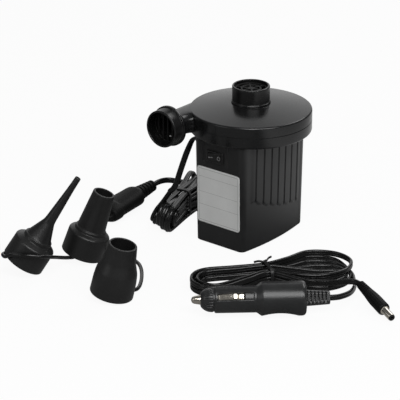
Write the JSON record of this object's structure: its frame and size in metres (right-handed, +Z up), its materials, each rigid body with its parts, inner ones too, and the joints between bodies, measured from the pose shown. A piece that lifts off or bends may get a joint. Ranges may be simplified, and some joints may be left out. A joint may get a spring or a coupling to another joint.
{
  "type": "electric air pump",
  "caption": "Electric air mattress pump with round fan casing, inlet collar, side spout, rocker switch, push-on nozzles, tied mains cord and 12 V car lead.",
  "frame": {"origin": "on the floor under the fan axis, at the pump's base", "axes": "+Z up along the fan axis out of the inlet collar, -Y out of the label face and along the outlet spout, +X to the ribbed side on the right of the label face"},
  "size_m": [0.3061, 0.2413, 0.1268],
  "materials": {
    "housing_black": "satin",
    "cover_black": "satin gloss",
    "label_silver": "satin foil",
    "rubber_black": "matte",
    "screw_steel": "satin",
    "grille_black": "matte",
    "motor_steel": "satin",
    "bush_bronze": "satin",
    "magnet_grey": "matte",
    "carbon_black": "matte",
    "shaft_steel": "polished",
    "copper_wire": "enamelled copper",
    "copper_bar": "copper",
    "impeller_grey": "satin",
    "board_green": "satin",
    "tape_yellow": "satin",
    "cap_sleeve": "gloss",
    "switch_black": "satin",
    "cord_black": "satin PVC",
    "tie_black": "matte",
    "plug_black": "satin",
    "plug_brass": "polished",
    "nozzle_black": "matte",
    "contact_chrome": "polished",
    "fuse_glass": "clear",
    "barrel_nickel": "nickel"
  },
  "bodies": {
    "pump": {"body_shell": "housing_black", "label_plate": "label_silver", "base_plate": "housing_black", "rubber_feet": "rubber_black", "base_screws": "screw_steel", "fan_casing": "housing_black", "casing_screws": "screw_steel", "top_cover": "cover_black", "cover_screws": "screw_steel", "inlet_collar": "housing_black", "inlet_grille": "grille_black", "outlet_spout": "housing_black", "outlet_grille": "grille_black", "motor_can": "motor_steel", "motor_end_cap": "grille_black", "motor_bushes": "bush_bronze", "motor_magnets": "magnet_grey", "carbon_brushes": "carbon_black", "motor_screws": "screw_steel", "power_board": "board_green", "transformer": "tape_yellow", "capacitors": "cap_sleeve", "dc_socket": "grille_black", "switch_frame": "switch_black", "cord_gland": "rubber_black", "mains_cord_run": "cord_black", "mains_cord_hank": "cord_black", "mains_cord_tail": "cord_black", "mains_cord_tie": "tie_black", "mains_plug_body": "plug_black", "mains_plug_blades": "plug_brass", "needle_nozzle": "nozzle_black", "medium_nozzle": "nozzle_black", "wide_nozzle": "nozzle_black", "nozzle_tether": "rubber_black", "car_plug_nose": "plug_black", "car_plug_body": "plug_black", "car_plug_fuse": "fuse_glass", "car_plug_spring": "shaft_steel", "car_plug_relief": "plug_black", "car_lead_start": "cord_black", "car_lead_hank": "cord_black", "car_lead_tie": "tie_black", "car_lead_end": "cord_black", "dc_plug_grip": "plug_black", "dc_plug_barrel": "barrel_nickel", "dc_plug_core": "grille_black"},
    "rotor": {"rotor_shaft": "shaft_steel", "armature_core": "motor_steel", "armature_windings": "copper_wire", "commutator": "copper_bar", "impeller": "impeller_grey"},
    "switch_rocker": {"rocker": "switch_black"},
    "car_tip": {"car_plug_tip": "contact_chrome"},
    "car_contact_near": {"car_plug_contact_near": "contact_chrome"},
    "car_contact_far": {"car_plug_contact_far": "contact_chrome"}
  },
  "joints": [
    {"name": "rotor_spin", "type": "hinge", "parent": "pump", "child": "rotor", "pos_m": [0, 0, 0.1], "axis": [0, 0, 1], "continuous": true},
    {"name": "rocker_tilt", "type": "hinge", "parent": "pump", "child": "switch_rocker", "pos_m": [-0.0029, -0.04008, 0.07702], "axis": [0, -0.0166, 0.9999], "range_deg": [-22, 0]},
    {"name": "car_tip_slide", "type": "slide", "parent": "pump", "child": "car_tip", "axis": [0.7431, 0.6691, 0], "range_m": [0, 0.003], "stiffness_N_per_m": 700, "springref_m": -0.001},
    {"name": "car_contact_near_slide", "type": "slide", "parent": "pump", "child": "car_contact_near", "axis": [-0.5481, 0.6087, -0.5736], "range_m": [0, 0.0014], "stiffness_N_per_m": 1500, "springref_m": -0.0005},
    {"name": "car_contact_far_slide", "type": "slide", "parent": "pump", "child": "car_contact_far", "axis": [0.5481, -0.6087, 0.5736], "range_m": [0, 0.0014], "stiffness_N_per_m": 1500, "springref_m": -0.0005}
  ]
}
